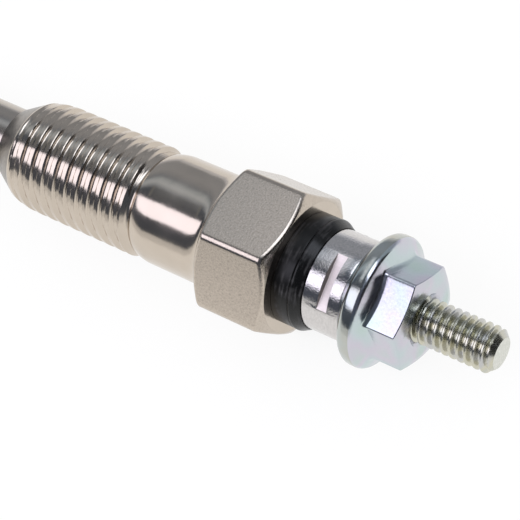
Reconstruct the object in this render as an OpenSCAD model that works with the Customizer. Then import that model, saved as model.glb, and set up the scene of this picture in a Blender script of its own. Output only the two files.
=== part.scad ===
// Diesel glow plug: threaded body with taper seat, sheathed heater, insulated terminal and flange nut.
// The plug lies along X with its heater tip towards -X. Origin: where the taper seat meets the thread.

/* [Body] */
// Nominal diameter of the body thread
thread_d = 10; // [9.8:0.1:12]
// Length of the thread, from the seat to the relief groove
thread_l = 12.95; // [8:0.05:20]
// Chamfer at both ends of the thread
thread_chamfer = 0.4; // [0.2:0.1:0.8]
// Diameter of the relief groove behind the thread
relief_d = 9.2; // [8.6:0.1:9.4]
// Width of the relief groove, up to the shank
relief_w = 0.25; // [0.2:0.05:1]
// Diameter of the plain shank
shank_d = 9.8; // [9.5:0.1:10.4]
// Length of the plain shank
shank_l = 7.8; // [4:0.2:14]
// Length over which the shank's front end is rounded down to the groove
shank_nose_l = 1.7; // [0.8:0.1:2.5]
// Radius of the fillet where the shank meets the hexagon
shank_fillet = 0.8; // [0.3:0.1:0.9]
// Hexagon width across its flats
hex_af = 12; // [12:0.5:14]
// Hexagon length
hex_l = 7; // [5:0.5:12]
// How much of the hexagon's sharp corners is turned off, on the diameter
hex_corner_cut = 0.2; // [0.1:0.05:0.5]
// Diameter of the round face left by the hexagon's end chamfers
hex_face_d = 11.9; // [11.4:0.1:11.9]
// Diameter of the taper seat at the thread
seat_d = 9.2; // [8.6:0.1:9.6]
// Included angle of the taper seat
seat_angle = 60; // [50:1:90]
// Diameter of the body's front end, round the sheath
nose_d = 6.6; // [6.4:0.1:7.2]
// Diameter of the bore round the rod
rod_bore_d = 5.2; // [4.5:0.1:5.6]
// Diameter of the counterbore for the bush and its ring
counterbore_d = 7.6; // [6.8:0.1:8.2]
// Depth of that counterbore
counterbore_l = 5.6; // [5:0.1:6.5]

/* [Heater] */
// Outer diameter of the sheath
sheath_d = 6; // [5.6:0.1:6.2]
// Wall of the sheath
sheath_wall = 0.6; // [0.4:0.05:0.7]
// Length of sheath in front of the body
sheath_out = 23.2; // [18:0.2:40]
// Length of sheath pressed into the body
sheath_in = 12.5; // [8:0.5:14]
// Mean diameter of both coils
coil_d = 3.1; // [2.9:0.05:3.2]
// Wire of the heating coil
heating_wire_d = 0.45; // [0.3:0.05:0.5]
// Rise of each turn of the heating coil
heating_pitch = 1; // [0.8:0.05:1.2]
// Turns of the heating coil
heating_turns = 9; // [6:1:10]
// Wire of the control coil
control_wire_d = 0.4; // [0.3:0.05:0.5]
// Rise of each turn of the control coil
control_pitch = 0.8; // [0.7:0.05:1]
// Turns of the control coil
control_turns = 10; // [6:1:12]
// Turns of the control coil that grip the rod's front spigot
grip_turns = 3; // [2:1:4]
// Distance from the centre of the sheath's dome to the first turn
coil_start = 0.3; // [0.2:0.1:2]
// Length of the rubber seal in the sheath's open end
seal_l = 2.5; // [1.5:0.1:4]

/* [Terminal] */
// Diameter of the rod from the sheath to the collar
rod_d = 4; // [4:0.1:4.4]
// Diameter of the rod inside the sheath
rod_front_d = 3.2; // [3:0.1:3.6]
// Nominal diameter of the terminal thread
stud_d = 4; // [3.8:0.1:4]
// Effective diameter of the terminal thread, where the nut is on it
stud_effective_d = 3.55; // [3.4:0.05:3.6]
// Length of stud beyond the nut
stud_l = 6.9; // [4:0.05:14]
// Chamfer at the end of the stud
stud_chamfer = 0.45; // [0.2:0.05:0.6]
// Diameter of the bush outside the body
bush_d = 9.65; // [9:0.05:10]
// Length of the bush outside the body
bush_l = 1.6; // [1:0.05:3]
// Diameter of the insulating washer
washer_d = 9.72; // [9.2:0.02:10]
// Thickness of the insulating washer
washer_l = 0.97; // [0.6:0.01:1.5]
// Width of the washer's rim, before it slopes down to the collar
washer_rim = 0.2; // [0.15:0.05:0.4]
// Diameter of the washer where it meets the collar
washer_rear_d = 8.85; // [8.8:0.05:9.2]
// Diameter of the collar
collar_d = 8.7; // [8:0.05:8.8]
// Length of the collar
collar_l = 3.98; // [3.8:0.02:7]
// Chamfer of the collar at the nut
collar_chamfer = 0.55; // [0.3:0.05:0.8]
// Number of crimp notches
notch_n = 3; // [2:1:3]
// Width of a notch
notch_w = 0.95; // [0.6:0.05:1.4]
// Depth of a notch at its middle
notch_depth = 0.7; // [0.4:0.02:0.9]
// Distance from the collar's washer end to a notch
notch_at = 1.48; // [1:0.02:2]
// Turn of the first notch from straight up
notch_turn = 26; // [0:1:119]

/* [Nut] */
// Nut width across its flats
nut_af = 7.8; // [7:0.1:9]
// Height of the nut with its flange
nut_h = 5; // [4.6:0.05:6]
// How much of the nut's sharp corners is rounded off, on the diameter
nut_corner_cut = 0.12; // [0.05:0.01:0.3]
// Diameter of the round face left by the nut's end chamfer
nut_face_d = 6.8; // [6:0.1:6.9]
// Diameter of the flange
flange_d = 11.35; // [10.6:0.05:13]
// Thickness of the flange's round rim
rim_t = 1.7; // [1.4:0.05:2]
// Radius of the rim's rounding towards the collar
rim_front_round = 0.75; // [0.5:0.05:0.8]
// Radius of the rim's rounding towards the cone
rim_rear_round = 0.55; // [0.4:0.05:0.6]
// Slope of the flange's cone
flange_slope = 28; // [20:1:35]
// Diameter of the countersink at both ends of the nut's thread
nut_sink_d = 4.6; // [4.5:0.05:5]
// Turn of the nut from a flat facing straight up
nut_turn = 24; // [0:1:59]

/* [Hidden] */
$fn = 96;

// Clearance round the rod where insulation or air parts it from its neighbours
rod_clear = 0.05;
// Clearance of the bush's spigot and of the rubber ring in the counterbore
spigot_clear = 0.04;
// Clearance of the coils in the powder and on the rod's spigot
coil_clear = 0.03;
// Gap between the end of the sheath and the thicker part of the rod
rod_step_gap = 0.5;
// Small edge breaks on moulded and turned pieces
edge_break = 0.12;
// Slope of the end chamfers on the body's hexagon and on the nut
hex_chamfer_slope = 30;
nut_chamfer_slope = 15;
// Overlap of joined or cut shapes, so that none meet edge on edge
lap = 0.2;
// Steps in the rounding of the shank's front end
nose_steps = 6;
// Sides of the coil wire, and steps in each of its turns
wire_sides = 6;
turn_steps = 16;
// Steps in the bend from the heating coil's first turn to its lead
bend_steps = 4;

// Section of the rubber ring under the bush
ring_d = (counterbore_d - rod_d) / 2 - 2 * spigot_clear;

// Stations along the plug, from tip to terminal
x_nose = -(seat_d - nose_d) / 2 / tan(seat_angle / 2);
x_tip = x_nose - sheath_out;
x_sheath_end = x_nose + sheath_in;
x_relief_end = thread_l + relief_w;
x_hex = x_relief_end + shank_l;
x_rear = x_hex + hex_l;
x_counterbore = x_rear - counterbore_l;
x_bush = x_counterbore + ring_d + 2 * spigot_clear;
x_washer = x_rear + bush_l;
x_collar = x_washer + washer_l;
x_nut = x_collar + collar_l;
x_face = x_nut + nut_h;
x_end = x_face + stud_l;

// Inside the sheath
sheath_bore_d = sheath_d - 2 * sheath_wall;
x_dome = x_tip + sheath_d / 2;
x_first_turn = x_dome + coil_start;
x_coil_joint = x_first_turn + heating_turns * heating_pitch;
x_coil_end = x_coil_joint + coil_clear + control_turns * control_pitch;
x_spigot = x_coil_end - grip_turns * control_pitch;
x_rod_shoulder = x_coil_end + control_wire_d / 2 + coil_clear;
x_seal = x_sheath_end - seal_l;
x_rod_step = x_sheath_end + rod_step_gap;
wire_d = max(heating_wire_d, control_wire_d);
// The wire runs in short straight steps, so its turns reach in a little further than their radius
coil_in_d = coil_d * cos(180 / turn_steps);
spigot_d = coil_in_d - control_wire_d - 2 * coil_clear;
channel_in_d = coil_in_d - wire_d - 2 * coil_clear;
channel_out_d = coil_d + wire_d + 2 * coil_clear;
// Bend from the heating coil's lead into its first turn, and how far round the coil it reaches
lead_bend = 2 * heating_wire_d;
lead_angle = arc_angle(lead_bend, coil_d);

// Puts a shape that is turned about Z onto the plug's axis, from station x on.
// A shape's own X then points along +Y and its own Y straight up.
module on_axis(x = 0) {
    rotate([90, 0, 90]) translate([0, 0, x]) children();
}

// Revolves a profile given as [radius, station] points.
module turned(points) {
    on_axis() rotate_extrude() polygon(points);
}

// A bar from station a to station b.
module bar(d, a, b) {
    on_axis(a) cylinder(d = d, h = b - a);
}

// A hexagon bar with turned corners, with a chamfer at station b and, if both is true, at station a too.
module hex_bar(af, a, b, corner_cut, face_d, slope, both) {
    corner_d = af / cos(30) - corner_cut;
    drop = (corner_d - face_d) / 2 * tan(slope);
    front = both ? [[0, a], [face_d / 2, a], [corner_d / 2, a + drop]] : [[0, a], [corner_d / 2, a]];
    intersection() {
        on_axis(a) cylinder(d = af / cos(30), h = b - a, $fn = 6);
        turned(concat(front, [[corner_d / 2, b - drop], [face_d / 2, b], [0, b]]));
    }
}

// Turn, in degrees, of a step of this length round a circle of diameter d.
function arc_angle(length, d) = length / (PI * d) * 360;

// Path of a wire's turns round a cylinder, as [angle, station] pairs.
function coil_turns(start, pitch, turns, first_angle) =
    [for (i = [0:turns * turn_steps])
        [first_angle + 360 * i / turn_steps, start + pitch * i / turn_steps]];

// The lead at the front of the heating coil: from the dome straight back, then round into the first turn.
function coil_front(start, front) =
    concat([[-lead_angle, front]],
           [for (k = [0:bend_steps - 1])
               let (t = 90 * k / bend_steps)
               [-lead_angle * cos(t), start - lead_bend + lead_bend * sin(t)]]);

function wire_point(p, d) = [d / 2 * cos(p[0]), d / 2 * sin(p[0]), p[1]];

function unit(v) = v / norm(v);

// One ring of points round the wire. The wire lies on a cylinder, so its radius is square to its run.
function wire_ring(path, i, d, wire) =
    let (last = len(path) - 1,
         run = unit(wire_point(path[min(i + 1, last)], d) - wire_point(path[max(i - 1, 0)], d)),
         out = [cos(path[i][0]), sin(path[i][0]), 0],
         side = unit(cross(run, out)))
    [for (k = [0:wire_sides - 1])
        let (t = 360 * k / wire_sides)
        wire_point(path[i], d) + wire / 2 * (cos(t) * out + sin(t) * side)];

// A round wire swept along a path on a cylinder of diameter d.
module wire(path, d, wire) {
    rings = len(path);
    points = [for (i = [0:rings - 1]) each wire_ring(path, i, d, wire)];
    walls = [for (i = [0:rings - 2], k = [0:wire_sides - 1])
        let (near = i * wire_sides, far = near + wire_sides, next = (k + 1) % wire_sides)
        each [[near + k, near + next, far + next], [near + k, far + next, far + k]]];
    caps = [[for (k = [wire_sides - 1:-1:0]) k],
            [for (k = [0:wire_sides - 1]) (rings - 1) * wire_sides + k]];
    on_axis() polyhedron(points, concat(walls, caps), convexity = 10);
}

// The steel housing: seat, thread, relief, shank and hexagon, bored through.
module body_shell() {
    thread_r = thread_d / 2;
    relief_r = relief_d / 2;
    shank_r = shank_d / 2;
    color([0.74, 0.70, 0.64])
    difference() {
        union() {
            turned([[0, x_nose], [nose_d / 2, x_nose], [seat_d / 2, 0], [thread_r, thread_chamfer],
                    [thread_r, thread_l - thread_chamfer], [relief_r, thread_l],
                    each shank_nose(relief_r, shank_r),
                    [shank_r, x_hex + lap], [0, x_hex + lap]]);
            on_axis() rotate_extrude() shank_corner(shank_r);
            hex_bar(hex_af, x_hex, x_rear, hex_corner_cut, hex_face_d, hex_chamfer_slope, true);
        }
        bar(sheath_d, x_nose - lap, x_sheath_end);
        bar(rod_bore_d, x_sheath_end - lap, x_counterbore + lap);
        bar(counterbore_d, x_counterbore, x_rear + lap);
    }
}

// Points of the long arc from the groove up to the full shank, where it ends level.
function shank_nose(from_r, to_r) =
    [for (k = [0:nose_steps])
        let (t = k / nose_steps)
        [to_r - (to_r - from_r) * pow(1 - t, 2), x_relief_end + shank_nose_l * t]];

// Profile of the fillet between shank and hexagon.
module shank_corner(shank_r) {
    difference() {
        translate([shank_r - lap, x_hex - shank_fillet]) square([shank_fillet + lap, shank_fillet + lap]);
        translate([shank_r + shank_fillet, x_hex - shank_fillet]) circle(r = shank_fillet);
    }
}

// The heater tube with its closed round tip.
module sheath_tube() {
    color([0.62, 0.60, 0.57])
    difference() {
        union() {
            bar(sheath_d, x_dome, x_sheath_end);
            on_axis(x_dome) sphere(d = sheath_d);
        }
        bar(sheath_bore_d, x_dome, x_sheath_end + lap);
        on_axis(x_dome) sphere(d = sheath_bore_d);
    }
}

// The coil that glows. Its lead ends at the dome, where the dome's wall curves in to it.
module heating_coil() {
    bore_r = sheath_bore_d / 2;
    lead_r = (coil_d + heating_wire_d) / 2;
    lead_end = x_dome - sqrt(pow(bore_r, 2) - pow(lead_r, 2)) + coil_clear;
    color([0.45, 0.42, 0.40])
    wire(concat(coil_front(x_first_turn, lead_end),
                coil_turns(x_first_turn, heating_pitch, heating_turns, 0)),
         coil_d, heating_wire_d);
}

// The coil that limits the current. Its last turns grip the rod's spigot.
module control_coil() {
    color([0.60, 0.50, 0.36])
    wire(coil_turns(x_coil_joint + coil_clear, control_pitch, control_turns, arc_angle(coil_clear, coil_d)),
         coil_d, control_wire_d);
}

// The packed powder: a core inside the coils, a sleeve outside them, joined in the dome.
module magnesia_fill() {
    channel_start = x_first_turn - lead_bend;
    color([0.92, 0.91, 0.87])
    difference() {
        union() {
            bar(sheath_bore_d, x_dome, x_seal);
            on_axis(x_dome) sphere(d = sheath_bore_d);
        }
        difference() {
            bar(channel_out_d, channel_start, x_rod_shoulder);
            bar(channel_in_d, channel_start - lap, x_spigot);
        }
        bar(rod_front_d, x_rod_shoulder - lap, x_seal + lap);
        lead_hole();
    }
}

// The hole through the powder in the dome for the heating coil's lead.
module lead_hole() {
    on_axis(x_tip) rotate(-lead_angle) translate([coil_d / 2, 0])
        cylinder(d = heating_wire_d + 2 * coil_clear, h = x_first_turn - x_tip);
}

// The rubber plug in the sheath's open end.
module sheath_seal() {
    color([0.16, 0.15, 0.15])
    difference() {
        bar(sheath_bore_d, x_seal, x_sheath_end);
        bar(rod_front_d, x_seal - lap, x_sheath_end + lap);
    }
}

// The rod from the control coil to the terminal stud.
module center_rod() {
    spigot_r = spigot_d / 2;
    front_r = rod_front_d / 2;
    rod_r = rod_d / 2;
    effective_r = stud_effective_d / 2;
    stud_r = stud_d / 2;
    color([0.70, 0.68, 0.56])
    turned([[0, x_spigot], [spigot_r, x_spigot], [spigot_r, x_rod_shoulder], [front_r, x_rod_shoulder],
            [front_r, x_rod_step], [rod_r, x_rod_step], [rod_r, x_nut], [effective_r, x_nut],
            [effective_r, x_face], [stud_r, x_face], [stud_r, x_end - stud_chamfer],
            [stud_r - stud_chamfer, x_end], [0, x_end]]);
}

// The rubber ring between rod and body, against the counterbore's floor.
module o_ring() {
    ring_mean_r = (counterbore_d / 2 - spigot_clear) - ring_d / 2;
    color([0.10, 0.10, 0.11])
    on_axis(x_counterbore + spigot_clear + ring_d / 2) rotate_extrude()
        translate([ring_mean_r, 0]) circle(d = ring_d);
}

// The insulating bush: a spigot in the counterbore and a shoulder on the hexagon's face.
module insulating_bush() {
    spigot_r = counterbore_d / 2 - spigot_clear;
    bush_r = bush_d / 2;
    bore_r = rod_d / 2 + rod_clear;
    color([0.07, 0.07, 0.07])
    turned([[bore_r, x_bush], [spigot_r - edge_break, x_bush], [spigot_r, x_bush + edge_break],
            [spigot_r, x_rear], [bush_r, x_rear], [bush_r, x_washer - edge_break],
            [bush_r - edge_break, x_washer], [bore_r, x_washer]]);
}

// The insulating washer, which slopes down from its rim to the collar.
module insulating_washer() {
    washer_r = washer_d / 2;
    bore_r = rod_d / 2 + rod_clear;
    color([0.04, 0.04, 0.04])
    turned([[bore_r, x_washer], [washer_r - edge_break, x_washer], [washer_r, x_washer + edge_break],
            [washer_r, x_washer + washer_rim], [washer_rear_d / 2, x_collar], [bore_r, x_collar]]);
}

// The collar crimped onto the rod, with its flat notches.
module crimp_collar() {
    collar_r = collar_d / 2;
    bore_r = rod_d / 2;
    color([0.80, 0.80, 0.82])
    difference() {
        turned([[bore_r, x_collar], [collar_r - edge_break, x_collar], [collar_r, x_collar + edge_break],
                [collar_r, x_nut - collar_chamfer], [collar_r - collar_chamfer, x_nut], [bore_r, x_nut]]);
        for (i = [0:notch_n - 1])
            on_axis(x_collar + notch_at) rotate(90 + notch_turn + 360 * i / notch_n)
                translate([collar_r - notch_depth, -collar_r, 0]) cube([collar_r, collar_d, notch_w]);
    }
}

// Profile of the nut's flange: a rim with two roundings, and the cone that leaves it level with the rear one.
module flange_profile() {
    flange_r = flange_d / 2;
    front = [flange_r - rim_front_round, rim_front_round];
    rear = [flange_r - rim_rear_round, rim_t - rim_rear_round];
    cone = rear + rim_rear_round * [sin(flange_slope), cos(flange_slope)];
    flat_r = nut_af / 2;
    top = cone[1] + (cone[0] - flat_r) * tan(flange_slope);
    polygon([[0, 0], [front[0], 0], [flange_r, front[1]], [flange_r, rear[1]], cone, [flat_r, top], [0, top]]);
    translate(front) circle(r = rim_front_round);
    translate(rear) circle(r = rim_rear_round);
}

// The terminal nut: hexagon on a conical flange with a round rim.
module flange_nut() {
    color([0.76, 0.82, 0.84])
    difference() {
        union() {
            on_axis(x_nut) rotate_extrude() flange_profile();
            rotate([nut_turn, 0, 0])
                hex_bar(nut_af, x_nut + lap, x_face, nut_corner_cut, nut_face_d, nut_chamfer_slope, false);
        }
        bar(stud_effective_d, x_nut - lap, x_face + lap);
        nut_sink(x_nut, -1);
        nut_sink(x_face, 1);
    }
}

// The countersink at one end of the nut's thread. way is 1 where it opens towards +X and -1 towards -X.
module nut_sink(x, way) {
    sink_r = nut_sink_d / 2;
    turned([[0, x + way * lap], [sink_r + lap, x + way * lap], [0, x - way * sink_r]]);
}

body_shell();
sheath_tube();
heating_coil();
control_coil();
magnesia_fill();
sheath_seal();
center_rod();
o_ring();
insulating_bush();
insulating_washer();
crimp_collar();
flange_nut();
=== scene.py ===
"""Looks of a diesel glow plug: nickel plated body, black insulation, crimped collar and zinc plated nut.

The frame is the part's own, with the plug along X and its heater tip towards -X. Sizes are in millimetres,
apart from the stage's, and MM turns them into metres. Angles run round the plug from +Y towards +Z.
"""
import math

import bmesh
import bpy
import numpy as np
from mathutils import Euler, Matrix, Vector


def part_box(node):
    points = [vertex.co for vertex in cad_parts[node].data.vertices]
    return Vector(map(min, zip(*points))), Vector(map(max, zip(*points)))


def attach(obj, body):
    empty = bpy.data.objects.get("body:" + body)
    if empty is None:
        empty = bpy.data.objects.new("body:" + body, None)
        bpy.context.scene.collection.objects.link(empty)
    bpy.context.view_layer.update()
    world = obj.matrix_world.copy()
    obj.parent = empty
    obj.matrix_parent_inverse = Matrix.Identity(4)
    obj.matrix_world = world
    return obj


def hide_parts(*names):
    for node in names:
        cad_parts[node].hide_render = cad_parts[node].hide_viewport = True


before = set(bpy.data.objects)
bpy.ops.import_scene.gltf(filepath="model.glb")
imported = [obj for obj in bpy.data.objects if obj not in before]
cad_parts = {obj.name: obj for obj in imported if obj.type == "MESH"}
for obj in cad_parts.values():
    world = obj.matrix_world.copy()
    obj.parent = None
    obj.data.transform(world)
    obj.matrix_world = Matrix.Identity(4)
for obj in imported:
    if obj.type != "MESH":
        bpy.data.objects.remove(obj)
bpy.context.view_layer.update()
MM = 0.001


def span(node):
    """First and last station of a CAD node along the plug."""
    low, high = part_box(node)
    return low[0] / MM, high[0] / MM


def height_of(node):
    """Height of a CAD node."""
    low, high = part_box(node)
    return (high[2] - low[2]) / MM


# Stations along the plug
X_TIP, X_SHEATH_END = span("sheath_tube")
X_NOSE, X_REAR = span("body_shell")
X_ROD, X_END = span("center_rod")
X_SHOULDER = span("control_coil")[1]
X_BUSH = span("insulating_bush")[0]
X_WASHER, X_COLLAR = span("insulating_washer")
X_NUT, X_FACE = span("flange_nut")
HEX_L = 7.0
X_HEX = X_REAR - HEX_L

# Body: a thread's START is the station of one of its crests at angle 0
THREAD_PITCH = 1.25
THREAD_CREST_R = 4.92
THREAD_CREST_W = 0.38
THREAD_FLANK_W = 0.27
THREAD_DEPTH = 0.34
THREAD_L = 12.85
THREAD_LEAD_L = 2.2
THREAD_START = 0.746
RELIEF_R = 4.6
RELIEF_W = 0.5
RELIEF_DIP = 0.2
SHANK_R = 4.9
SHANK_NOSE_L = 1.55
SHANK_FILLET_H = 0.8
SHANK_FILLET_L = 1.6
NOSE_R = 3.3
SEAT_R = 4.6
SEAT_RISE = (SEAT_R - NOSE_R) / -X_NOSE
HEX_AF = height_of("body_shell")
HEX_TURN = math.radians(90)
HEX_CORNER_R = 0.5
HEX_STRIP = 0.15
HEX_FACE_R = 5.78
HEX_SLOPE = math.radians(30)
HEX_ROUND = 0.45
ROD_BORE_R = 2.6
COUNTERBORE_R = 3.8
COUNTERBORE_L = 5.6

# Heater sheath
SHEATH_R = 3.0
SHEATH_WALL = 0.6

# Rod and stud
ROD_SPIGOT_R = 1.29
ROD_FRONT_R = 1.6
ROD_R = 2.0
ROD_STEP_GAP = 0.5
STUD_PITCH = 0.7
STUD_CREST_R = 1.93
STUD_CREST_W = 0.14
STUD_FLANK_W = 0.22
STUD_DEPTH = 0.43
STUD_START = 40.407
STUD_CHAMFER = 0.6
STUD_EFFECTIVE_R = 1.775

# Insulation
INSULATION_BORE_R = 2.05
BUSH_R = 4.825
BUSH_CLEAR = 0.04
WASHER_R = 4.86
WASHER_RIM_W = 0.2
WASHER_REAR_R = 4.425
WASHER_ROUND = 0.3

# Collar: a notch's FLOOR is the distance of its flat from the axis
COLLAR_R = 4.35
COLLAR_CHAMFER = 0.55
NOTCH_N = 3
NOTCH_AT = 1.48
NOTCH_W = 0.95
NOTCH_FLOOR = 3.65
NOTCH_TURN = math.radians(116)

# Nut: the rim's round ends at SLOPE, and from there to the fillet the flange lies flatter, at DISH.
# The fillet ends BASE_RISE above the place where SLOPE would meet the hexagon.
NUT_AF = 7.8
NUT_TURN = math.radians(114)
NUT_CORNER_R = 0.2
NUT_STRIP = 0.04
NUT_FACE_R = 3.4
NUT_SLOPE = math.radians(15)
NUT_ROUND = 0.12
NUT_SINK_R = 2.3
NUT_SINK_L = NUT_SINK_R - STUD_EFFECTIVE_R
NUT_BASE_RISE = 0.25
FLANGE_R = 5.675
FLANGE_SLOPE = math.radians(28)
FLANGE_DISH = math.radians(20)
RIM_T = 1.7
RIM_FRONT_ROUND = 0.75
RIM_REAR_ROUND = 0.55
RIM_BRIGHT_STEPS = 5

# Edges and mesh steps
EDGE = 0.05
EDGE_BREAK = 0.12
CHAMFER_SHARE = 0.9
ROWS_PER_PITCH = 28
NOSE_STEPS = 12
ARC_STEPS = 6
DOME_STEPS = 24
FILLET_STEPS = 10
CORNER_STEPS = 2
FLAT_STEPS = 36
NOTCH_STEPS = 16
ROUND_STEPS = 144
MERGE = 0.0005
SHARP = math.radians(35)


# Meshes

def even_angles():
    """Angles of an even division of the circle."""
    return np.arange(ROUND_STEPS) * 2 * np.pi / ROUND_STEPS


def hex_section(across, corner_r, strip, turn):
    """Angles and radii round a hexagon, each of whose corners is a narrow flat strip between two arcs."""
    sector = math.pi / 3
    half = math.pi / 6
    reach = corner_r + (across / 2 - corner_r - strip / 2 * math.sin(half)) / math.cos(half)
    angles, radii = [], []
    for k in range(6):
        corner = turn + half + k * sector
        side = []
        for step in range(CORNER_STEPS + 1):
            a = step / CORNER_STEPS * half
            side.append((reach - corner_r + corner_r * math.cos(a), strip / 2 + corner_r * math.sin(a)))
        points = [(w, -t) for w, t in reversed(side)] + side
        angles += [corner + math.atan2(t, w) for w, t in points]
        radii += [math.hypot(w, t) for w, t in points]
        corner_end = math.atan2(side[-1][1], side[-1][0])
        flat = sector - 2 * corner_end
        for step in range(1, FLAT_STEPS):
            a = corner + corner_end + flat * step / FLAT_STEPS
            angles.append(a)
            radii.append(across / 2 / math.cos(a - corner - half))
    return np.array(angles), np.array(radii)


def arc(x, r, radius, start_deg, end_deg, steps=ARC_STEPS):
    """Rows along an arc about (x, r). Angle 0 points outwards and 90 degrees towards +X."""
    rows = []
    for step in range(steps + 1):
        a = math.radians(start_deg + (end_deg - start_deg) * step / steps)
        rows.append((x + radius * math.sin(a), r + radius * math.cos(a)))
    return rows


def thread_drop(x, angles, pitch, start, crest_w, flank_w):
    """How far a right-hand thread is down at station x, for every angle: 0 on its crest, 1 in its root."""
    turns = (x - start) / pitch - angles / (2 * np.pi)
    from_crest = np.abs(turns - np.round(turns)) * pitch
    straight = np.clip((from_crest - crest_w / 2) / flank_w, 0, 1)
    rounded = straight * straight * (3 - 2 * straight)
    return (straight + rounded) / 2


def chamfer_rows(radii, face_x, face_r, slope, rounding, way):
    """Rows of a turned chamfer on a hexagon, from its face in: way is 1 where the bar runs towards +X."""
    turn = math.pi / 2 - slope
    crease = face_x + way * (radii - face_r) * math.tan(slope)
    room_for = (radii - face_r) / math.cos(slope) / math.tan(turn / 2)
    rounding = np.minimum(rounding, room_for * CHAMFER_SHARE)
    centre = crease + way * rounding * math.tan(turn / 2)
    rows = [(face_x, face_r - EDGE), (face_x, face_r)]
    for step in range(ARC_STEPS, -1, -1):
        a = turn * step / ARC_STEPS
        rows.append((centre - way * rounding * math.sin(a), radii - rounding * (1 - math.cos(a))))
    return rows


def add_object(name, data):
    """Puts a mesh, a lamp or a camera into the scene."""
    made = bpy.data.objects.new(name, data)
    bpy.context.scene.collection.objects.link(made)
    return made


def revolve(name, angles, rows, looped, look_of=None):
    """Mesh round the plug's axis from rows of (station, radius), each a number or one value per angle.

    A looped piece has a bore: its last row joins its first. Otherwise both end rows are points on the axis.
    look_of gives the number of a face's material, from its row and its column.
    """
    points, index = [], []
    for x, r in rows:
        first = len(points)
        if np.ndim(r) == 0 and r == 0:
            points.append((x * MM, 0, 0))
            index.append([first] * len(angles))
            continue
        xs = np.broadcast_to(x, angles.shape) * MM
        rs = np.broadcast_to(r, angles.shape) * MM
        points += list(zip(xs, rs * np.cos(angles), rs * np.sin(angles)))
        index.append(list(range(first, first + len(angles))))
    faces, looks = [], []
    last = len(rows) if looped else len(rows) - 1
    for i in range(last):
        near, far = index[i], index[(i + 1) % len(rows)]
        for j in range(len(angles)):
            k = (j + 1) % len(angles)
            faces.append(list(dict.fromkeys([near[j], near[k], far[k], far[j]])))
            looks.append(look_of(i, j) if look_of else 0)
    mesh = bpy.data.meshes.new(name)
    mesh.from_pydata(points, [], faces)
    mesh.polygons.foreach_set("material_index", looks)
    clean(mesh)
    return add_object(name, mesh)


def clean(mesh):
    """Merges points that coincide, turns all faces outwards and shades them smooth between sharp edges."""
    shape = bmesh.new()
    shape.from_mesh(mesh)
    bmesh.ops.remove_doubles(shape, verts=shape.verts, dist=MERGE * MM)
    bmesh.ops.dissolve_degenerate(shape, edges=shape.edges, dist=MERGE * MM)
    bmesh.ops.recalc_face_normals(shape, faces=shape.faces)
    shape.to_mesh(mesh)
    shape.free()
    mesh.shade_smooth()
    mesh.set_sharp_from_angle(angle=SHARP)


def dress(piece, node, looks):
    """Puts a piece in its CAD node's place, with its materials."""
    for look in looks:
        piece.data.materials.append(look)
    even = piece.modifiers.new("even_shading", "WEIGHTED_NORMAL")
    even.keep_sharp = True
    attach(piece, "root")
    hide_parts(node)


# Pieces

def seat_rows(thread_from):
    """Rows of the body's front face and its taper seat, up to the thread."""
    x_end = thread_from - EDGE
    return [
        (X_NOSE, SHEATH_R),
        (X_NOSE, NOSE_R - EDGE),
        (X_NOSE + EDGE, NOSE_R + EDGE * SEAT_RISE),
        (x_end, SEAT_R + x_end * SEAT_RISE),
    ]


def body_thread_rows(angles, thread_from):
    """Rows of the body's thread, which leaves the seat, grows to its full height and falls to the relief."""
    rows = []
    count = round((THREAD_L - thread_from) / THREAD_PITCH * ROWS_PER_PITCH)
    for x in np.linspace(thread_from, THREAD_L, count):
        short_of_full = max(0, 1 - x / THREAD_LEAD_L)
        lead = THREAD_CREST_R - (THREAD_CREST_R - SEAT_R) * short_of_full ** 2
        envelope = min(SEAT_R + x * SEAT_RISE if x < 0 else lead, RELIEF_R + (THREAD_L - x))
        drop = thread_drop(x, angles, THREAD_PITCH, THREAD_START, THREAD_CREST_W, THREAD_FLANK_W)
        rows.append((x, np.minimum(THREAD_CREST_R - THREAD_DEPTH * drop, envelope)))
    return rows


def shank_rows():
    """Rows of the relief groove, the shank's rounded front and the fillet from the shank to the hexagon."""
    rows = []
    for t in np.linspace(0, 1, NOSE_STEPS + 1)[1:-1]:
        rows.append((THREAD_L + RELIEF_W * t, RELIEF_R - RELIEF_DIP * math.sin(math.pi * t)))
    for t in np.linspace(0, 1, NOSE_STEPS + 1):
        x = THREAD_L + RELIEF_W + SHANK_NOSE_L * t
        rows.append((x, SHANK_R - (SHANK_R - RELIEF_R) * (1 - t) ** 2))
    for x, r in arc(0, 0, 1, 180, 90):
        rows.append((X_HEX - SHANK_FILLET_L * (1 - x), SHANK_R + SHANK_FILLET_H * (1 + r)))
    return rows


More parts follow.
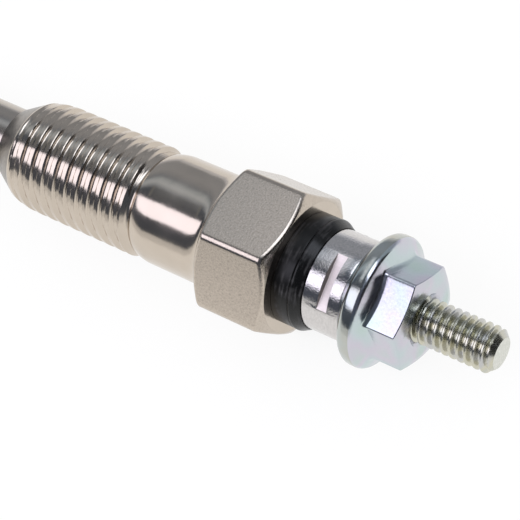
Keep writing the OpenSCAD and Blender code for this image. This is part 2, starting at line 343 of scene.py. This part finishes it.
def housing():
    """The body: taper seat, thread, relief groove, shank and hexagon, bored through."""
    angles, hexagon = hex_section(HEX_AF, HEX_CORNER_R, HEX_STRIP, HEX_TURN)
    root_r = THREAD_CREST_R - THREAD_DEPTH
    thread_from = (root_r - SEAT_R) / SEAT_RISE - THREAD_PITCH / ROWS_PER_PITCH
    rows = seat_rows(thread_from)
    seat_to = len(rows) - 1
    rows += body_thread_rows(angles, thread_from)
    rows += shank_rows()
    hex_from = len(rows)
    rows += chamfer_rows(hexagon, X_HEX, HEX_FACE_R, HEX_SLOPE, HEX_ROUND, way=1)
    rows += reversed(chamfer_rows(hexagon, X_REAR, HEX_FACE_R, HEX_SLOPE, HEX_ROUND, way=-1))
    hex_to = len(rows) - 1
    x_counterbore = X_REAR - COUNTERBORE_L
    rows += [(X_REAR, COUNTERBORE_R), (x_counterbore, COUNTERBORE_R), (x_counterbore, ROD_BORE_R)]
    rows += [(X_SHEATH_END, ROD_BORE_R), (X_SHEATH_END, SHEATH_R)]

    def look_of(row, column):
        """2 on the ground seat with its painted shade, 1 on the drawn hexagon with its pits and painted
        shade, 0 on all that is turned.
        """
        return 2 if row < seat_to else int(hex_from <= row < hex_to)

    piece = revolve("housing", angles, rows, looped=True, look_of=look_of)
    dress(piece, "body_shell", [turned_nickel(), drawn_nickel_pits_and_shade(), ground_seat_painted_shade()])


def heater_sheath():
    """The heater tube with its closed round tip."""
    dome = X_TIP + SHEATH_R
    bore_r = SHEATH_R - SHEATH_WALL
    inner = arc(dome, 0, bore_r, -90, 0, DOME_STEPS)
    outer = arc(dome, 0, SHEATH_R, 0, -90, DOME_STEPS)
    inner[0] = (dome - bore_r, 0)
    outer[-1] = (X_TIP, 0)
    rows = inner + [(X_SHEATH_END, bore_r), (X_SHEATH_END, SHEATH_R), (X_NOSE, SHEATH_R)] + outer
    piece = revolve("heater_sheath", even_angles(), rows, looped=False)
    dress(piece, "sheath_tube", [heat_steel()])


def terminal_rod():
    """The rod from the control coil to the threaded stud."""
    angles = even_angles()
    x_step = X_SHEATH_END + ROD_STEP_GAP
    thread_from = X_FACE - NUT_SINK_L
    rows = [(X_ROD, 0), (X_ROD, ROD_SPIGOT_R), (X_SHOULDER, ROD_SPIGOT_R), (X_SHOULDER, ROD_FRONT_R)]
    rows += [(x_step, ROD_FRONT_R), (x_step, ROD_R), (X_NUT, ROD_R), (X_NUT, STUD_EFFECTIVE_R)]
    rows.append((thread_from, STUD_EFFECTIVE_R))
    count = round((X_END - thread_from) / STUD_PITCH * ROWS_PER_PITCH)
    for x in np.linspace(thread_from, X_END, count):
        envelope = min(STUD_CREST_R, STUD_CREST_R + X_END - STUD_CHAMFER - x)
        drop = thread_drop(x, angles, STUD_PITCH, STUD_START, STUD_CREST_W, STUD_FLANK_W)
        rows.append((x, np.minimum(STUD_CREST_R - STUD_DEPTH * drop, envelope)))
    end_row = len(rows) - 1
    rows.append((X_END, 0))

    def look_of(row, column):
        """1 on the stud's end face and 0 elsewhere."""
        return int(row == end_row)

    piece = revolve("terminal_rod", angles, rows, looped=False, look_of=look_of)
    dress(piece, "center_rod", [yellow_zinc(), cut_end()])


def bush():
    """The wide black band on the hexagon's face, with its spigot in the body."""
    spigot_r = COUNTERBORE_R - BUSH_CLEAR
    rows = [(X_BUSH, INSULATION_BORE_R), (X_BUSH, spigot_r - EDGE_BREAK), (X_BUSH + EDGE_BREAK, spigot_r)]
    rows += [(X_REAR, spigot_r), (X_REAR, BUSH_R - EDGE)]
    rows += arc(X_REAR + EDGE, BUSH_R - EDGE, EDGE, -90, 0)
    rows += arc(X_WASHER - EDGE_BREAK, BUSH_R - EDGE_BREAK, EDGE_BREAK, 0, 90)
    rows.append((X_WASHER, INSULATION_BORE_R))
    piece = revolve("bush", even_angles(), rows, looped=True)
    dress(piece, "insulating_bush", [black_plastic("bush_black", roughness=0.30)])


def washer():
    """The narrow black lip between bush and collar, which slopes down from its rim to the collar."""
    slope = math.atan2(WASHER_R - WASHER_REAR_R, X_COLLAR - X_WASHER - WASHER_RIM_W)
    x_bend = X_WASHER + WASHER_RIM_W - WASHER_ROUND * math.tan(slope / 2)
    rows = [(X_WASHER, INSULATION_BORE_R)]
    rows += arc(X_WASHER + EDGE_BREAK, WASHER_R - EDGE_BREAK, EDGE_BREAK, -90, 0)
    rows += arc(x_bend, WASHER_R - WASHER_ROUND, WASHER_ROUND, 0, math.degrees(slope))
    rows += [(X_COLLAR, WASHER_REAR_R), (X_COLLAR, INSULATION_BORE_R)]
    piece = revolve("washer", even_angles(), rows, looped=True)
    dress(piece, "insulating_washer", [black_plastic("washer_black", roughness=0.22)])


def collar():
    """The collar crimped onto the rod, with its flat notches."""
    half = math.acos(NOTCH_FLOOR / COLLAR_R)
    share = 2 * np.pi / NOTCH_N
    steps = ROUND_STEPS // NOTCH_N
    flat = np.linspace(-half, half, NOTCH_STEPS + 1)
    full = np.linspace(half, share - half, steps - NOTCH_STEPS + 1)[1:-1]
    one_share = np.concatenate([flat, full])
    angles = np.concatenate([NOTCH_TURN + k * share + one_share for k in range(NOTCH_N)])
    one_notch = np.concatenate([NOTCH_FLOOR / np.cos(flat), np.full(full.shape, COLLAR_R)])
    notched = np.tile(one_notch, NOTCH_N)
    x_notch = X_COLLAR + NOTCH_AT
    rows = [(X_COLLAR, ROD_R)]
    rows += arc(X_COLLAR + EDGE_BREAK, COLLAR_R - EDGE_BREAK, EDGE_BREAK, -90, 0)
    floor_row = len(rows) + 1
    rows += [(x_notch, COLLAR_R), (x_notch, notched), (x_notch + NOTCH_W, notched)]
    rows += [(x_notch + NOTCH_W, COLLAR_R), (X_NUT - COLLAR_CHAMFER - EDGE, COLLAR_R)]
    rows += [(X_NUT - COLLAR_CHAMFER + EDGE, COLLAR_R - EDGE), (X_NUT, COLLAR_R - COLLAR_CHAMFER)]
    rows.append((X_NUT, ROD_R))
    # A notch's flat takes a far lighter material, painted light, and its two walls a dark one, painted
    # shade.
    notch_looks = {floor_row: 1, floor_row - 1: 2, floor_row + 1: 2}

    def look_of(row, column):
        """1 on a notch's flat, 2 on its two walls and 0 elsewhere."""
        return notch_looks.get(row, 0) if column % steps < NOTCH_STEPS else 0

    piece = revolve("collar", angles, rows, looped=True, look_of=look_of)
    dress(piece, "crimp_collar", [collar_steel(), pressed_steel_painted_light(), notch_wall_painted_shade()])


def nut():
    """The terminal nut: a hexagon on a conical flange with a round rim."""
    angles, hexagon = hex_section(NUT_AF, NUT_CORNER_R, NUT_STRIP, NUT_TURN)
    front = RIM_FRONT_ROUND
    rear = RIM_REAR_ROUND
    rows = [(X_NUT + NUT_SINK_L, STUD_EFFECTIVE_R), (X_NUT, NUT_SINK_R)]
    rim_from = len(rows)
    rows += arc(X_NUT + front, FLANGE_R - front, front, -90, 0)
    rows += arc(X_NUT + RIM_T - rear, FLANGE_R - rear, rear, 0, 90 - math.degrees(FLANGE_SLOPE))
    rim_to = len(rows) - RIM_BRIGHT_STEPS
    cone_x, cone_r = rows[-1]
    fall = cone_r - hexagon
    turn = math.pi / 2 - FLANGE_DISH
    x_meet = cone_x + fall * math.tan(FLANGE_SLOPE) + NUT_BASE_RISE
    fillet = (x_meet - cone_x - fall * math.tan(FLANGE_DISH)) / math.tan(turn / 2)
    for step in range(FILLET_STEPS, -1, -1):
        a = turn * step / FILLET_STEPS
        rows.append((x_meet - fillet * math.sin(a), hexagon + fillet * (1 - math.cos(a))))
    rows += reversed(chamfer_rows(hexagon, X_FACE, NUT_FACE_R, NUT_SLOPE, NUT_ROUND, way=-1))
    rows += [(X_FACE, NUT_SINK_R), (X_FACE - NUT_SINK_L, STUD_EFFECTIVE_R)]

    def look_of(row, column):
        """1 on the scuffed rim and 0 elsewhere."""
        return int(rim_from <= row < rim_to)

    piece = revolve("nut", angles, rows, looped=True, look_of=look_of)
    dress(piece, "flange_nut", [clear_zinc(), dull_zinc()])


# Materials: nearly all of a noise texture's values lie between NOISE_LOW and NOISE_HIGH

NOISE_LOW = 0.3
NOISE_HIGH = 0.7


class Nodes:
    """Adds nodes to a tree. An input is given as a value or as another node's output."""

    def __init__(self, tree):
        self.tree = tree
        tree.nodes.clear()

    def add(self, kind, inputs=None, **settings):
        """A new node of a kind, with its settings and inputs."""
        node = self.tree.nodes.new(kind)
        for name, value in settings.items():
            setattr(node, name, value)
        for name, value in (inputs or {}).items():
            if isinstance(value, bpy.types.NodeSocket):
                self.tree.links.new(value, node.inputs[name])
            else:
                node.inputs[name].default_value = value
        return node

    def math(self, operation, a, b=0.0):
        """One operation on two numbers."""
        return self.add("ShaderNodeMath", {0: a, 1: b}, operation=operation).outputs[0]

    def noise(self, place, scale, detail=3.0, roughness=0.5):
        """Smooth noise at a place."""
        inputs = {"Vector": place, "Scale": scale, "Detail": detail, "Roughness": roughness}
        return self.add("ShaderNodeTexNoise", inputs).outputs["Fac"]

    def stretch(self, value, low, high, to_low, to_high):
        """A value moved from one range to another, and kept inside it."""
        inputs = {"Value": value, "From Min": low, "From Max": high, "To Min": to_low, "To Max": to_high}
        return self.add("ShaderNodeMapRange", inputs).outputs["Result"]

    def spread(self, noise, to_low, to_high):
        """Noise stretched to a range."""
        return self.stretch(noise, NOISE_LOW, NOISE_HIGH, to_low, to_high)

    def ramp(self, value, stops):
        """A colour from a list of (value, colour) stops."""
        node = self.add("ShaderNodeValToRGB", {"Fac": value})
        points = node.color_ramp.elements
        for k, (place, colour) in enumerate(stops):
            point = points[k] if k < 2 else points.new(place)
            point.position = place
            point.color = (*colour, 1)
        return node.outputs["Color"]

    def bump(self, height, depth_mm, normal=None):
        """A surface raised by up to a depth, on top of another bump's normal if one is given."""
        inputs = {"Height": height, "Distance": depth_mm * MM, "Strength": 1.0}
        if normal is not None:
            inputs["Normal"] = normal
        return self.add("ShaderNodeBump", inputs).outputs["Normal"]


def material(name):
    """A new material with its node helper and the object's own coordinates."""
    made = bpy.data.materials.new(name)
    made.use_nodes = True
    nodes = Nodes(made.node_tree)
    place = nodes.add("ShaderNodeTexCoord").outputs["Object"]
    return made, nodes, place


def surface(nodes, inputs):
    """Ends a material in one principled shader."""
    shader = nodes.add("ShaderNodeBsdfPrincipled", inputs)
    nodes.add("ShaderNodeOutputMaterial", {"Surface": shader.outputs["BSDF"]})


def wrapped(nodes, place, per_mm, round_per_mm):
    """Coordinates along and round the plug, for marks that are drawn out round it."""
    axes = nodes.add("ShaderNodeSeparateXYZ", {"Vector": place}).outputs
    turn = nodes.math("ARCTAN2", axes["Z"], axes["Y"])
    along = nodes.math("MULTIPLY", axes["X"], per_mm / MM)
    around = nodes.math("MULTIPLY", turn, COLLAR_R * round_per_mm)
    return nodes.add("ShaderNodeCombineXYZ", {"X": along, "Y": around}).outputs[0]


def turning_lines(nodes, place, per_mm):
    """Fine rings left by the lathe: noise that changes along the plug only."""
    x = nodes.add("ShaderNodeSeparateXYZ", {"Vector": place}).outputs["X"]
    inputs = {"W": x, "Scale": per_mm / MM, "Detail": 2.0}
    return nodes.add("ShaderNodeTexNoise", inputs, noise_dimensions="1D").outputs["Fac"]


def turned_nickel():
    """Bright nickel over a turned surface."""
    made, nodes, place = material("turned_nickel")
    clouds = nodes.noise(place, 0.35 / MM)
    lines = turning_lines(nodes, place, per_mm=9.0)
    waves = nodes.noise(place, 0.9 / MM, detail=2.0)
    surface(nodes, {
        "Base Color": nodes.ramp(clouds, [(0.3, (0.55, 0.482, 0.405)), (0.7, (0.605, 0.53, 0.448))]),
        "Metallic": 1.0,
        "Roughness": nodes.spread(clouds, 0.13, 0.19),
        "Normal": nodes.bump(waves, 0.012, nodes.bump(lines, 0.0006)),
    })
    return made


def drawn_nickel_pits_and_shade():
    """Bright nickel over the finely pitted skin of drawn hexagon bar; its darker tint is pits and painted
    shade.
    """
    made, nodes, place = material("drawn_nickel_pits_and_shade")
    pits = nodes.noise(place, 6.0 / MM, detail=4.0, roughness=0.6)
    waves = nodes.noise(place, 0.4 / MM, detail=2.0)
    # The darker stops mark the pits and also paint shade onto the flats.
    tint = [(0.28, (0.42, 0.368, 0.31)), (0.42, (0.51, 0.448, 0.38)), (0.65, (0.57, 0.50, 0.427))]
    surface(nodes, {
        "Base Color": nodes.ramp(pits, tint),
        "Metallic": 1.0,
        "Roughness": nodes.spread(pits, 0.24, 0.14),
        "Normal": nodes.bump(pits, 0.010, nodes.bump(waves, 0.006)),
    })
    return made


def heat_steel():
    """Ground heat-resisting steel."""
    made, nodes, place = material("heat_steel")
    clouds = nodes.noise(place, 0.3 / MM)
    lines = turning_lines(nodes, place, per_mm=14.0)
    surface(nodes, {
        "Base Color": nodes.ramp(clouds, [(0.3, (0.49, 0.44, 0.385)), (0.7, (0.57, 0.515, 0.45))]),
        "Metallic": 1.0,
        "Roughness": nodes.spread(clouds, 0.18, 0.26),
        "Normal": nodes.bump(lines, 0.0012),
    })
    return made


def black_plastic(name, roughness):
    """Satin black moulding with pale handling smudges, which are rougher than the clean plastic."""
    made, nodes, place = material(name)
    smudges = nodes.noise(place, 0.55 / MM, detail=5.0, roughness=0.65)
    around = wrapped(nodes, place, per_mm=3.5, round_per_mm=0.35)
    streaks = nodes.noise(around, 1.0, detail=4.0, roughness=0.6)
    grime = nodes.math("MULTIPLY", smudges, streaks)
    surface(nodes, {
        "Base Color": nodes.ramp(grime, [(0.26, (0.003, 0.003, 0.003)), (0.42, (0.050, 0.048, 0.052))]),
        "Roughness": nodes.stretch(grime, 0.2, 0.4, roughness, roughness + 0.25),
        "Specular IOR Level": 0.32,
        "Normal": nodes.bump(streaks, 0.014),
    })
    return made


def collar_steel():
    """Cool bright plating over a turned and crimped surface."""
    made, nodes, place = material("collar_steel")
    around = wrapped(nodes, place, per_mm=6.0, round_per_mm=1.5)
    streaks = nodes.noise(around, 1.0, detail=4.0, roughness=0.6)
    lines = turning_lines(nodes, place, per_mm=7.0)
    grain = nodes.noise(place, 7.0 / MM, detail=3.0, roughness=0.6)
    surface(nodes, {
        "Base Color": nodes.ramp(grain, [(0.3, (0.54, 0.52, 0.505)), (0.6, (0.66, 0.635, 0.62))]),
        "Metallic": 1.0,
        "Roughness": nodes.spread(streaks, 0.08, 0.17),
        "Normal": nodes.bump(grain, 0.013, nodes.bump(streaks, 0.012, nodes.bump(lines, 0.002))),
    })
    return made


def pressed_steel_painted_light():
    """The same plating, dulled where the crimping tool pressed it flat; its lighter base is painted light.
    """
    made, nodes, place = material("pressed_steel_painted_light")
    around = wrapped(nodes, place, per_mm=1.0, round_per_mm=5.0)
    streaks = nodes.noise(around, 1.0, detail=4.0, roughness=0.6)
    surface(nodes, {
        "Base Color": nodes.ramp(streaks, [(0.3, (0.78, 0.70, 0.73)), (0.7, (0.88, 0.80, 0.83))]),
        "Metallic": 0.25,
        "Roughness": nodes.spread(streaks, 0.52, 0.64),
        "Normal": nodes.bump(streaks, 0.004),
    })
    return made


def clear_zinc():
    """Clear zinc plating with a faint play of blue, rose and green."""
    made, nodes, place = material("clear_zinc")
    film = nodes.noise(place, 0.28 / MM, detail=1.5)
    grain = nodes.noise(place, 5.0 / MM, detail=3.0)
    tint = [(0.30, (0.51, 0.62, 0.585)), (0.44, (0.545, 0.615, 0.635)), (0.57, (0.60, 0.575, 0.645)),
            (0.72, (0.52, 0.62, 0.59))]
    surface(nodes, {
        "Base Color": nodes.ramp(film, tint),
        "Metallic": 1.0,
        "Roughness": nodes.spread(grain, 0.14, 0.24),
        "Normal": nodes.bump(grain, 0.004),
    })
    return made


def dull_zinc():
    """The same plating, scuffed and dulled on the flange's rim."""
    made, nodes, place = material("dull_zinc")
    film = nodes.noise(place, 0.3 / MM, detail=2.0)
    specks = nodes.noise(place, 5.0 / MM, detail=4.0, roughness=0.6)
    tint = [(0.35, (0.50, 0.49, 0.43)), (0.55, (0.49, 0.52, 0.50)), (0.70, (0.52, 0.56, 0.58))]
    surface(nodes, {
        "Base Color": nodes.ramp(film, tint),
        "Metallic": 1.0,
        "Roughness": nodes.spread(specks, 0.11, 0.20),
        "Normal": nodes.bump(specks, 0.006),
    })
    return made


def yellow_zinc():
    """Zinc plating with a pale yellow film."""
    made, nodes, place = material("yellow_zinc")
    film = nodes.noise(place, 0.5 / MM, detail=2.0)
    grain = nodes.noise(place, 6.0 / MM, detail=3.0)
    tint = [(0.35, (0.52, 0.53, 0.47)), (0.5, (0.60, 0.58, 0.46)), (0.65, (0.54, 0.54, 0.53))]
    surface(nodes, {
        "Base Color": nodes.ramp(film, tint),
        "Metallic": 1.0,
        "Roughness": nodes.spread(grain, 0.18, 0.28),
        "Normal": nodes.bump(grain, 0.004),
    })
    return made


def plain(name, dark, light, metallic, roughness, grain_mm):
    """A mottled material for small areas and for the pieces inside."""
    made, nodes, place = material(name)
    mottle = nodes.noise(place, 1 / grain_mm / MM)
    surface(nodes, {
        "Base Color": nodes.ramp(mottle, [(0.35, dark), (0.65, light)]),
        "Metallic": metallic,
        "Roughness": roughness,
        "Normal": nodes.bump(mottle, 0.004),
    })
    return made


def ground_seat_painted_shade():
    """Dull ground steel for the seat, on a dark base that is painted shade on the cone."""
    return plain("ground_seat_painted_shade", (0.25, 0.225, 0.20), (0.33, 0.30, 0.265),
                 metallic=1.0, roughness=0.3, grain_mm=0.3)


def cut_end():
    """Pale sawn metal, for the stud's end."""
    return plain("cut_end", (0.62, 0.63, 0.57), (0.72, 0.72, 0.66),
                 metallic=0.7, roughness=0.38, grain_mm=0.25)


def notch_wall_painted_shade():
    """Dark metal for the steep walls of the collar's notches: painted shade in the recesses."""
    return plain("notch_wall_painted_shade", (0.10, 0.092, 0.085), (0.17, 0.158, 0.148),
                 metallic=0.5, roughness=0.5, grain_mm=0.2)


def resistance_wire():
    """Dark drawn wire, for the heating coil."""
    return plain("resistance_wire", (0.14, 0.12, 0.11), (0.22, 0.20, 0.18),
                 metallic=1.0, roughness=0.45, grain_mm=0.3)


def nickel_wire():
    """Warm drawn wire, for the control coil."""
    return plain("nickel_wire", (0.42, 0.34, 0.22), (0.55, 0.46, 0.32),
                 metallic=1.0, roughness=0.35, grain_mm=0.3)


def magnesia():
    """White packed powder."""
    return plain("magnesia", (0.78, 0.77, 0.72), (0.88, 0.87, 0.83),
                 metallic=0.0, roughness=0.9, grain_mm=0.15)


def seal_rubber():
    """Matt black rubber, for the sheath's seal."""
    return plain("seal_rubber", (0.014, 0.014, 0.014), (0.03, 0.03, 0.03),
                 metallic=0.0, roughness=0.6, grain_mm=0.4)


def ring_rubber():
    """Smoother black rubber, for the ring under the bush."""
    return plain("ring_rubber", (0.012, 0.012, 0.012), (0.025, 0.025, 0.025),
                 metallic=0.0, roughness=0.5, grain_mm=0.4)


def inner_pieces():
    """Materials for the CAD nodes inside the plug, whose shapes stay as they are."""
    looks = {
        "heating_coil": resistance_wire(),
        "control_coil": nickel_wire(),
        "magnesia_fill": magnesia(),
        "sheath_seal": seal_rubber(),
        "o_ring": ring_rubber(),
    }
    for node, look in looks.items():
        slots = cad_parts[node].data.materials
        slots.clear()
        slots.append(look)


# Stage, in metres

WHITE = (1, 1, 1, 1)
AMBIENT = 1.0
FLOOR_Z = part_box("body_shell")[0][2]
FLOOR_SIZE = 3.0
FLOOR_COLOUR = (0.9, 0.9, 0.9, 1)
FLOOR_WHITE_SHARE = 0.88
PANEL_SIZE = (1.42, 0.57)
PANEL_PLACE = (-0.59, -0.4765, 0.5)
PANEL_RADIANCE = 1.8
PANEL_COLOUR = (0.98, 0.955, 1.10)
CARD_X = 0.095
CARD_Y = (-0.022, 0.06)
CARD_HEIGHT = 0.06
CARD_COLOUR = (0.02, 0.02, 0.022, 1)
STRIP_X = (-0.5, 0.3)
STRIP_HEIGHT = 0.012
FAR_STRIP_Y = 0.07
FAR_STRIP_COLOUR = (0.66, 0.68, 0.74, 1)
NEAR_STRIP_Y = -0.05
NEAR_STRIP_COLOUR = (0.77, 0.77, 0.77, 1)
ROOM_R = 0.85
ROOM_L = 1.8
ROOM_STEPS = 64

# The room's tones from +Y, where the turn is 0, over the top to -Y, where it is 1
ROOM_TONES = [
    (0.00, (0.32, 0.34, 0.38)),
    (0.19, (0.36, 0.38, 0.42)),
    (0.25, (0.31, 0.33, 0.37)),
    (0.30, (0.23, 0.26, 0.31)),
    (0.35, (0.45, 0.51, 0.58)),
    (0.395, (0.56, 0.62, 0.70)),
    (0.44, (0.33, 0.37, 0.43)),
    (0.48, (0.10, 0.12, 0.155)),
    (0.60, (0.08, 0.09, 0.115)),
    (1.00, (0.08, 0.09, 0.115)),
]

# Patches on the room's wall: each fades in between its first two edges and out between its last two
WINDOW_X = (0.06, 0.12, 1.30, 1.50)
WINDOW_TURN = (0.30, 0.33, 0.46, 0.49)
WINDOW_COLOUR = (2.4, 2.55, 2.9, 1)
BOARD_X = (-0.388, -0.372, -0.25, -0.22)
BOARD_TURN = (0.27, 0.295, 0.515, 0.545)
BOARD_COLOUR = (1.0, 1.02, 1.1, 1)
HAZE_X = (-0.68, -0.60, -0.54, -0.48)
HAZE_TURN = (0.44, 0.47, 0.57, 0.59)
HAZE_COLOUR = (0.22, 0.23, 0.24, 1)


def seen_rays(nodes):
    """1 for rays that see the background: from the camera, or reflected or refracted."""
    path = nodes.add("ShaderNodeLightPath").outputs
    seen = nodes.math("ADD", path["Is Camera Ray"], path["Is Glossy Ray"])
    seen = nodes.math("ADD", seen, path["Is Transmission Ray"])
    return nodes.math("MINIMUM", seen, 1.0)


def between(nodes, value, edges):
    """1 between the two middle edges, 0 outside the outer ones."""
    rise = nodes.stretch(value, edges[0], edges[1], 0, 1)
    fall = nodes.stretch(value, edges[2], edges[3], 1, 0)
    return nodes.math("MULTIPLY", rise, fall)


def glow(nodes, colour):
    """Ends a stage material in light of its own."""
    light = nodes.add("ShaderNodeEmission", {"Color": colour, "Strength": 1.0}).outputs[0]
    nodes.add("ShaderNodeOutputMaterial", {"Surface": light})


def floor_white():
    """White to the camera and in reflections, with a share of plain paint that keeps a soft shadow."""
    made, nodes, _ = material("floor_white")
    white = nodes.add("ShaderNodeEmission", {"Color": WHITE, "Strength": 1.0}).outputs[0]
    shade = nodes.add("ShaderNodeBsdfDiffuse", {"Color": FLOOR_COLOUR}).outputs[0]
    share = nodes.math("MULTIPLY", seen_rays(nodes), FLOOR_WHITE_SHARE)
    mixed = nodes.add("ShaderNodeMixShader", {0: share, 1: shade, 2: white}).outputs[0]
    nodes.add("ShaderNodeOutputMaterial", {"Surface": mixed})
    return made


def room_grey():
    """The room's tones, with its patches laid over them."""
    made, nodes, place = material("room_grey")
    axes = nodes.add("ShaderNodeSeparateXYZ", {"Vector": place}).outputs
    turn = nodes.math("DIVIDE", nodes.math("ARCTAN2", axes["Z"], axes["Y"]), math.pi)
    tone = nodes.ramp(turn, ROOM_TONES)
    for x_edges, turn_edges, colour in ((WINDOW_X, WINDOW_TURN, WINDOW_COLOUR),
                                        (BOARD_X, BOARD_TURN, BOARD_COLOUR),
                                        (HAZE_X, HAZE_TURN, HAZE_COLOUR)):
        share = nodes.math("MULTIPLY", between(nodes, axes["X"], x_edges), between(nodes, turn, turn_edges))
        # A mix node's colours are its inputs 6 and 7 and its output 2
        mix = nodes.add("ShaderNodeMix", {"Factor": share, 6: tone, 7: colour}, data_type="RGBA")
        tone = mix.outputs[2]
    glow(nodes, tone)
    return made


def stage_piece(name, points, faces, look):
    """A piece of the stage, from its points and faces."""
    mesh = bpy.data.meshes.new(name)
    mesh.from_pydata(points, [], faces)
    mesh.materials.append(look)
    piece = add_object(name, mesh)
    return piece


def reflections_only(piece):
    """Hides a stage piece from all rays but reflected ones."""
    piece.visible_camera = False
    piece.visible_diffuse = False
    piece.visible_shadow = False
    piece.visible_transmission = False


def floor():
    """A pale floor under the plug."""
    half = FLOOR_SIZE / 2
    corners = [(x * half, y * half, FLOOR_Z) for x, y in ((-1, -1), (1, -1), (1, 1), (-1, 1))]
    stage_piece("floor", corners, [(0, 1, 2, 3)], floor_white())


def room():
    """The dim studio round the plug, an arch along it that only shows in reflections."""
    points, faces = [], []
    for k in range(ROOM_STEPS + 1):
        a = math.pi * k / ROOM_STEPS
        for x in (-ROOM_L, ROOM_L):
            points.append((x, ROOM_R * math.cos(a), FLOOR_Z + ROOM_R * math.sin(a)))
    for k in range(ROOM_STEPS):
        faces.append((2 * k, 2 * k + 1, 2 * k + 3, 2 * k + 2))
    for side in (0, 1):
        faces.append([2 * k + side for k in range(ROOM_STEPS + 1)])
    reflections_only(stage_piece("room", points, faces, room_grey()))


def card(name, start, end, tall, colour):
    """A card standing on the floor between two places, that only shows in reflections."""
    top = FLOOR_Z + tall
    corners = [(*start, FLOOR_Z), (*end, FLOOR_Z), (*end, top), (*start, top)]
    made, nodes, _ = material(name)
    glow(nodes, colour)
    reflections_only(stage_piece(name, corners, [(0, 1, 2, 3)], made))


def cards():
    """A dark card beyond the terminal and low grey strips on the far and the near side."""
    card("dark_card", (CARD_X, CARD_Y[0]), (CARD_X, CARD_Y[1]), CARD_HEIGHT, CARD_COLOUR)
    for name, y, colour in (("far_strip", FAR_STRIP_Y, FAR_STRIP_COLOUR),
                            ("near_strip", NEAR_STRIP_Y, NEAR_STRIP_COLOUR)):
        card(name, (STRIP_X[0], y), (STRIP_X[1], y), STRIP_HEIGHT, colour)


def lights():
    """One long soft panel overhead, on the camera's side, and even light from all round."""
    lamp = bpy.data.lights.new("panel", "AREA")
    lamp.shape = "RECTANGLE"
    lamp.size, lamp.size_y = PANEL_SIZE
    lamp.energy = PANEL_RADIANCE * math.pi * PANEL_SIZE[0] * PANEL_SIZE[1]
    lamp.color = PANEL_COLOUR
    panel = add_object("panel", lamp)
    panel.location = PANEL_PLACE
    panel.visible_camera = False
    world = bpy.data.worlds.new("studio")
    world.use_nodes = True
    nodes = Nodes(world.node_tree)
    even = nodes.add("ShaderNodeBackground", {"Color": WHITE, "Strength": AMBIENT}).outputs[0]
    white = nodes.add("ShaderNodeBackground", {"Color": WHITE, "Strength": 1.0}).outputs[0]
    mixed = nodes.add("ShaderNodeMixShader", {0: seen_rays(nodes), 1: even, 2: white}).outputs[0]
    nodes.add("ShaderNodeOutputWorld", {"Surface": mixed})
    bpy.context.scene.world = world


# Camera, fitted to the photograph's view, in millimetres and degrees

CAMERA_PLACE = (97.176, -53.85, 133.396)
CAMERA_TURNS = (31.457, 13.751, 32.842)
CLIP_START = 10.0
SENSOR_W = 36.0
FOCAL_L = 135.47


def camera():
    """A long lens from above, on the terminal's side."""
    lens = bpy.data.cameras.new("camera")
    lens.sensor_width = SENSOR_W
    lens.lens = FOCAL_L
    lens.clip_start = CLIP_START * MM
    eye = add_object("camera", lens)
    turn = Euler([math.radians(angle) for angle in CAMERA_TURNS]).to_matrix().to_4x4()
    eye.matrix_world = Matrix.Translation(Vector(CAMERA_PLACE) * MM) @ turn
    bpy.context.scene.camera = eye


housing()
heater_sheath()
terminal_rod()
bush()
washer()
collar()
nut()
inner_pieces()
floor()
room()
cards()
lights()
camera()
bpy.context.scene.view_settings.view_transform = "Standard"
